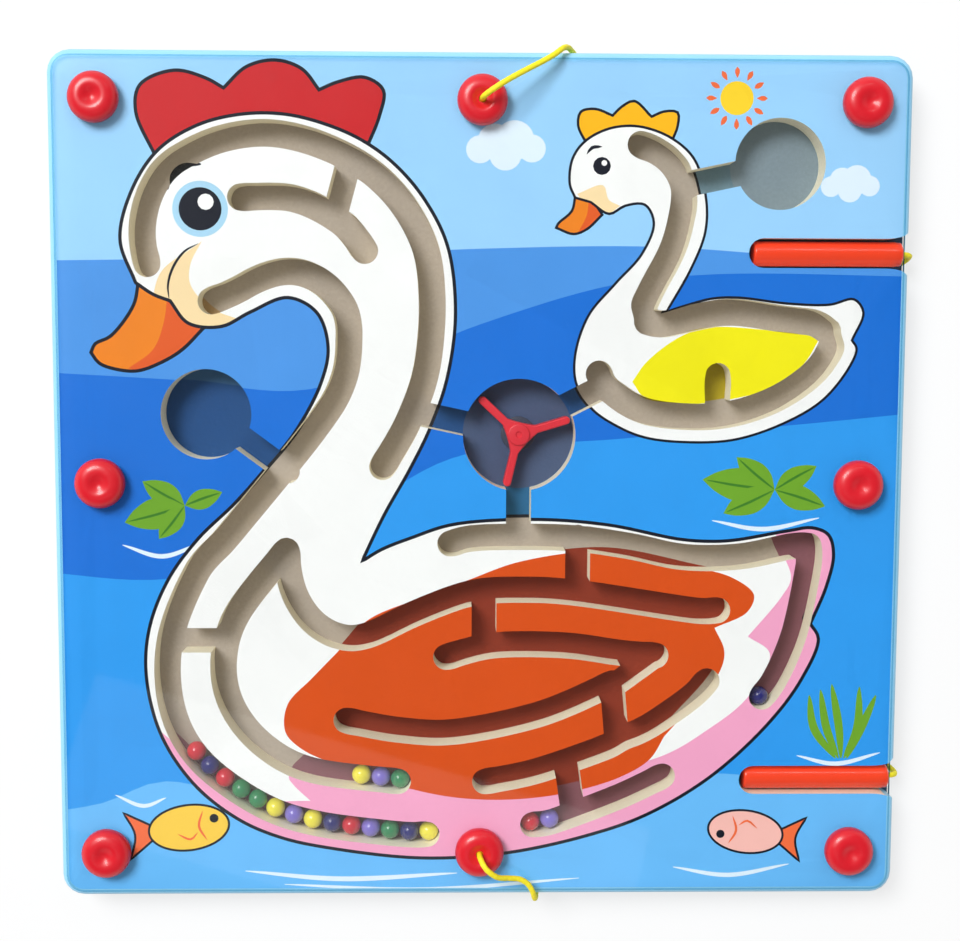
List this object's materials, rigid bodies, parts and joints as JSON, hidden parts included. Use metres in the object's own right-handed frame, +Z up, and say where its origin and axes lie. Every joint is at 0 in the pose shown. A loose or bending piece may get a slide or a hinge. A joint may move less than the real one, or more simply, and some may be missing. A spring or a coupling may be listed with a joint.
{
  "type": "magnetic maze board",
  "caption": "Flat wooden maze board with routed swan-shaped grooves, coloured steel balls under a clear cover, a turning gate and magnet wands on cords.",
  "frame": {"origin": "on the table under the middle of the board, which lies on its back on the rear plugs", "axes": "+Z up out of the printed face, +X to the right and +Y to the top of the printed picture; the wand slots open towards +X"},
  "size_m": [0.3035, 0.305, 0.0299],
  "materials": {
    "board": "printed face, bare fibreboard grooves and back",
    "cover": "clear polished sheet",
    "cap": "glossy moulded",
    "gate": "glossy moulded",
    "pivot": "matt moulded",
    "wand": "glossy moulded",
    "magnet": "plated magnet",
    "cord": "braided",
    "ball_red": "glossy coat",
    "ball_yellow": "glossy coat",
    "ball_green": "glossy coat",
    "ball_blue": "glossy coat",
    "ball_purple": "glossy coat"
  },
  "bodies": {
    "board": {"maze_board": "board", "clear_cover": "cover", "front_cap_top_left": "cap", "front_cap_top_middle": "cap", "front_cap_top_right": "cap", "front_cap_middle_left": "cap", "front_cap_middle_right": "cap", "front_cap_bottom_left": "cap", "front_cap_bottom_middle": "cap", "front_cap_bottom_right": "cap", "rear_plug_top_left": "cap", "rear_plug_top_middle": "cap", "rear_plug_top_right": "cap", "rear_plug_middle_left": "cap", "rear_plug_middle_right": "cap", "rear_plug_bottom_left": "cap", "rear_plug_bottom_middle": "cap", "rear_plug_bottom_right": "cap", "gate_pivot": "pivot", "cord_upper": "cord", "cord_lower": "cord"},
    "gate": {"turning_gate": "gate"},
    "wand_upper": {"wand_tube_upper": "wand", "wand_magnet_upper": "magnet", "wand_end_plug_upper": "wand", "cord_upper_tail": "cord"},
    "wand_lower": {"wand_tube_lower": "wand", "wand_magnet_lower": "magnet", "wand_end_plug_lower": "wand", "cord_lower_tail": "cord"},
    "ball_yellow_1": {"ball_yellow_1": "ball_yellow"},
    "ball_blue_1": {"ball_blue_1": "ball_blue"},
    "ball_green_1": {"ball_green_1": "ball_green"},
    "ball_purple_1": {"ball_purple_1": "ball_purple"},
    "ball_red_1": {"ball_red_1": "ball_red"},
    "ball_blue_2": {"ball_blue_2": "ball_blue"},
    "ball_yellow_2": {"ball_yellow_2": "ball_yellow"},
    "ball_purple_2": {"ball_purple_2": "ball_purple"},
    "ball_yellow_3": {"ball_yellow_3": "ball_yellow"},
    "ball_green_2": {"ball_green_2": "ball_green"},
    "ball_green_3": {"ball_green_3": "ball_green"},
    "ball_red_2": {"ball_red_2": "ball_red"},
    "ball_blue_3": {"ball_blue_3": "ball_blue"},
    "ball_red_3": {"ball_red_3": "ball_red"},
    "ball_green_4": {"ball_green_4": "ball_green"},
    "ball_purple_3": {"ball_purple_3": "ball_purple"},
    "ball_yellow_4": {"ball_yellow_4": "ball_yellow"},
    "ball_red_4": {"ball_red_4": "ball_red"},
    "ball_purple_4": {"ball_purple_4": "ball_purple"},
    "ball_blue_4": {"ball_blue_4": "ball_blue"}
  },
  "joints": [
    {"name": "gate_spin", "type": "hinge", "parent": "board", "child": "gate", "pos_m": [0.0134, 0.0171, 0.0105], "axis": [0, 0, 1], "continuous": true},
    {"name": "wand_upper_pull", "type": "slide", "parent": "board", "child": "wand_upper", "axis": [1, 0, 0], "range_m": [0, 0.058]},
    {"name": "wand_lower_pull", "type": "slide", "parent": "board", "child": "wand_lower", "axis": [1, 0, 0], "range_m": [0, 0.058]},
    {"name": "ball_yellow_1_roll", "type": "hinge", "parent": "board", "child": "ball_yellow_1", "pos_m": [-0.01899, 0.03806, 0.01], "axis": [0, 0, 1], "range_deg": [-9.04, 0]},
    {"name": "ball_blue_1_roll", "type": "hinge", "parent": "board", "child": "ball_blue_1", "pos_m": [0.01005, 0.2996, 0.01], "axis": [0, 0, 1], "range_deg": [-3.51, 0]},
    {"name": "ball_green_1_roll", "type": "hinge", "parent": "board", "child": "ball_green_1", "pos_m": [-0.00251, 0.18762, 0.01], "axis": [0, 0, 1], "range_deg": [-4.75, 0]},
    {"name": "ball_purple_1_roll", "type": "hinge", "parent": "board", "child": "ball_purple_1", "pos_m": [-0.02394, 0.03986, 0.01], "axis": [0, 0, 1], "range_deg": [-9, 0]},
    {"name": "ball_red_1_roll", "type": "hinge", "parent": "board", "child": "ball_red_1", "pos_m": [-0.03524, -0.01782, 0.01], "axis": [0, 0, 1], "range_deg": [-13.91, 0]},
    {"name": "ball_blue_2_roll", "type": "hinge", "parent": "board", "child": "ball_blue_2", "pos_m": [-0.04253, -0.04608, 0.01], "axis": [0, 0, 1], "range_deg": [-19.07, 0]},
    {"name": "ball_yellow_2_roll", "type": "hinge", "parent": "board", "child": "ball_yellow_2", "pos_m": [-0.04704, -0.05757, 0.01], "axis": [0, 0, 1], "range_deg": [-22.59, 0]},
    {"name": "ball_purple_2_roll", "type": "hinge", "parent": "board", "child": "ball_purple_2", "pos_m": [-0.04315, -0.04829, 0.01], "axis": [0, 0, 1], "range_deg": [-19.64, 0]},
    {"name": "ball_yellow_3_roll", "type": "hinge", "parent": "board", "child": "ball_yellow_3", "pos_m": [-0.03291, -0.03188, 0.01], "axis": [0, 0, 1], "range_deg": [-15.69, 0]},
    {"name": "ball_green_2_roll", "type": "hinge", "parent": "board", "child": "ball_green_2", "pos_m": [-0.03884, -0.04127, 0.01], "axis": [0, 0, 1], "range_deg": [-17.75, 0]},
    {"name": "ball_green_3_roll", "type": "hinge", "parent": "board", "child": "ball_green_3", "pos_m": [-0.05473, -0.06035, 0.01], "axis": [0, 0, 1], "range_deg": [-25.09, 0]},
    {"name": "ball_red_2_roll", "type": "hinge", "parent": "board", "child": "ball_red_2", "pos_m": [-0.06434, -0.06899, 0.01], "axis": [0, 0, 1], "range_deg": [-31.95, 0]},
    {"name": "ball_blue_3_roll", "type": "hinge", "parent": "board", "child": "ball_blue_3", "pos_m": [-0.06735, -0.07083, 0.01], "axis": [0, 0, 1], "range_deg": [-34.54, 0]},
    {"name": "ball_red_3_roll", "type": "hinge", "parent": "board", "child": "ball_red_3", "pos_m": [-0.06583, -0.06993, 0.01], "axis": [0, 0, 1], "range_deg": [-33.19, 0]},
    {"name": "ball_green_4_roll", "type": "hinge", "parent": "board", "child": "ball_green_4", "pos_m": [0.00305, 0.25134, 0.01], "axis": [0, 0, 1], "range_deg": [-4.79, 0]},
    {"name": "ball_purple_3_roll", "type": "hinge", "parent": "board", "child": "ball_purple_3", "pos_m": [-0.02841, 0.02063, 0.01], "axis": [0, 0, 1], "range_deg": [-13.52, 0]},
    {"name": "ball_yellow_4_roll", "type": "hinge", "parent": "board", "child": "ball_yellow_4", "pos_m": [-0.0405, -0.03982, 0.01], "axis": [0, 0, 1], "range_deg": [-26.02, 0]},
    {"name": "ball_red_4_roll", "type": "hinge", "parent": "board", "child": "ball_red_4", "pos_m": [-0.00454, -0.00207, 0.01], "axis": [0, 0, 1], "range_deg": [0, 13.9]},
    {"name": "ball_purple_4_roll", "type": "hinge", "parent": "board", "child": "ball_purple_4", "pos_m": [-0.08382, 0.20245, 0.01], "axis": [0, 0, 1], "range_deg": [0, 5.03]},
    {"name": "ball_blue_4_roll", "type": "hinge", "parent": "board", "child": "ball_blue_4", "pos_m": [0.03986, -0.03286, 0.01], "axis": [0, 0, 1], "range_deg": [0, 27.37]}
  ],
  "couplings": [
    {"joint": "ball_yellow_1_roll", "follows": "ball_red_3_roll", "ratio": 0.27177},
    {"joint": "ball_blue_1_roll", "follows": "ball_red_3_roll", "ratio": 0.10506},
    {"joint": "ball_green_1_roll", "follows": "ball_red_3_roll", "ratio": 0.14245},
    {"joint": "ball_purple_1_roll", "follows": "ball_red_3_roll", "ratio": 0.27043},
    {"joint": "ball_red_1_roll", "follows": "ball_red_3_roll", "ratio": 0.41842},
    {"joint": "ball_blue_2_roll", "follows": "ball_red_3_roll", "ratio": 0.57411},
    {"joint": "ball_yellow_2_roll", "follows": "ball_red_3_roll", "ratio": 0.68002},
    {"joint": "ball_purple_2_roll", "follows": "ball_red_3_roll", "ratio": 0.5913},
    {"joint": "ball_yellow_3_roll", "follows": "ball_red_3_roll", "ratio": 0.47214},
    {"joint": "ball_green_2_roll", "follows": "ball_red_3_roll", "ratio": 0.53417},
    {"joint": "ball_green_3_roll", "follows": "ball_red_3_roll", "ratio": 0.75529},
    {"joint": "ball_red_2_roll", "follows": "ball_red_3_roll", "ratio": 0.96217},
    {"joint": "ball_blue_3_roll", "follows": "ball_red_3_roll", "ratio": 1.0402},
    {"joint": "ball_green_4_roll", "follows": "ball_yellow_4_roll", "ratio": 0.18345},
    {"joint": "ball_purple_3_roll", "follows": "ball_yellow_4_roll", "ratio": 0.51877},
    {"joint": "ball_red_4_roll", "follows": "ball_purple_4_roll", "ratio": 2.7622}
  ]
}
